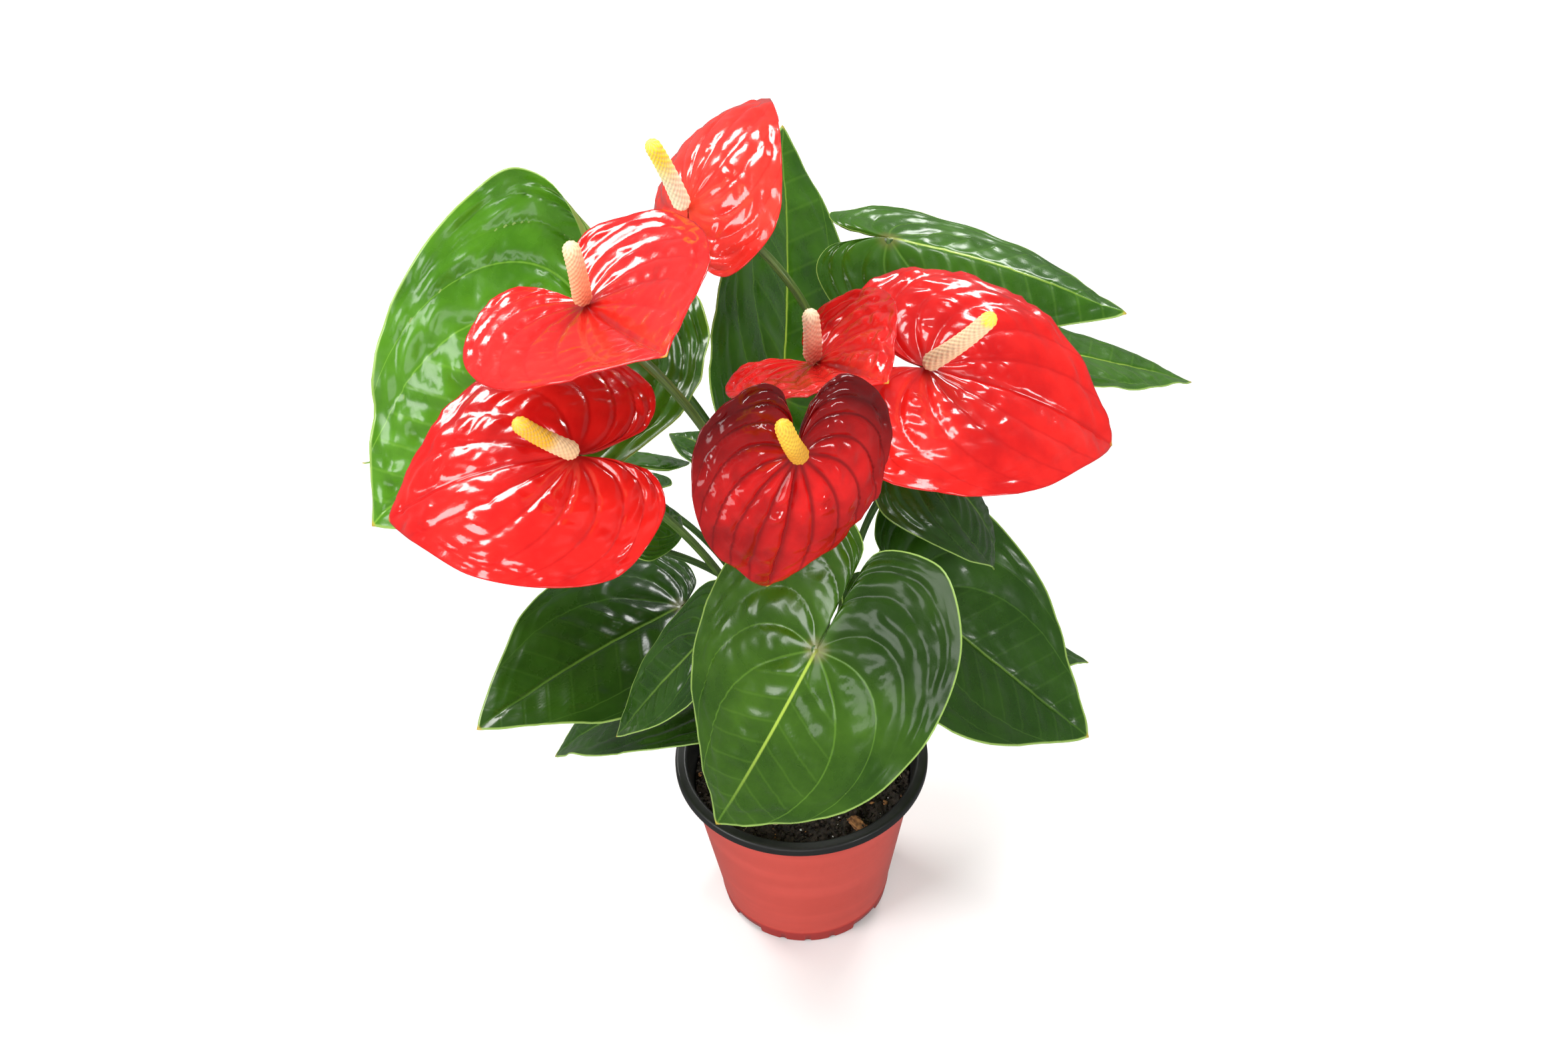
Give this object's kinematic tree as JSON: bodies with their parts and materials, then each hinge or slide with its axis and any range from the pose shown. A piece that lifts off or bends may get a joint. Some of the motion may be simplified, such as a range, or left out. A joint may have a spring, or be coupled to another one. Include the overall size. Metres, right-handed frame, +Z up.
{
  "type": "potted anthurium",
  "caption": "Flowering anthurium in a round tapered grower's pot: glossy heart-shaped leaves and puckered red spathes with upright spadices, each on its own slender stem.",
  "frame": {"origin": "middle of the pot's underside, on the surface that it stands on", "axes": "+Z up out of the pot, -Y towards the plant's front, +X to the right as seen from the front"},
  "size_m": [0.3748, 0.2681, 0.4212],
  "materials": {
    "pot_plastic": "satin",
    "peat": "matte",
    "bark": "matte",
    "leaf_green": "gloss",
    "stem_green": "satin",
    "spathe_red": "gloss",
    "spadix_cream": "satin"
  },
  "bodies": {
    "root": {"grow_pot": "pot_plastic", "potting_mix": "peat", "bark_chip_left": "bark", "bark_chip_right": "bark", "spathe_top": "spathe_red", "spadix_top": "spadix_cream", "flower_stem_top": "stem_green", "spathe_left_upper": "spathe_red", "spadix_left_upper": "spadix_cream", "flower_stem_left_upper": "stem_green", "spathe_left_lower": "spathe_red", "spadix_left_lower": "spadix_cream", "flower_stem_left_lower": "stem_green", "spathe_front": "spathe_red", "spadix_front": "spadix_cream", "flower_stem_front": "stem_green", "spathe_middle": "spathe_red", "spadix_middle": "spadix_cream", "flower_stem_middle": "stem_green", "spathe_right": "spathe_red", "spadix_right": "spadix_cream", "flower_stem_right": "stem_green", "leaf_left_tall": "leaf_green", "leaf_stem_left_tall": "stem_green", "leaf_back_tall": "leaf_green", "leaf_stem_back_tall": "stem_green", "leaf_right_tall": "leaf_green", "leaf_stem_right_tall": "stem_green", "leaf_right_back": "leaf_green", "leaf_stem_right_back": "stem_green", "leaf_right_middle": "leaf_green", "leaf_stem_right_middle": "stem_green", "leaf_right_low": "leaf_green", "leaf_stem_right_low": "stem_green", "leaf_right_under": "leaf_green", "leaf_stem_right_under": "stem_green", "leaf_front_low": "leaf_green", "leaf_stem_front_low": "stem_green", "leaf_left_low": "leaf_green", "leaf_stem_left_low": "stem_green", "leaf_left_folded": "leaf_green", "leaf_stem_left_folded": "stem_green", "leaf_left_under": "leaf_green", "leaf_stem_left_under": "stem_green", "leaf_left_back": "leaf_green", "leaf_stem_left_back": "stem_green", "leaf_young_back": "leaf_green", "leaf_stem_young_back": "stem_green", "leaf_young_left": "leaf_green", "leaf_stem_young_left": "stem_green"}
  },
  "joints": []
}
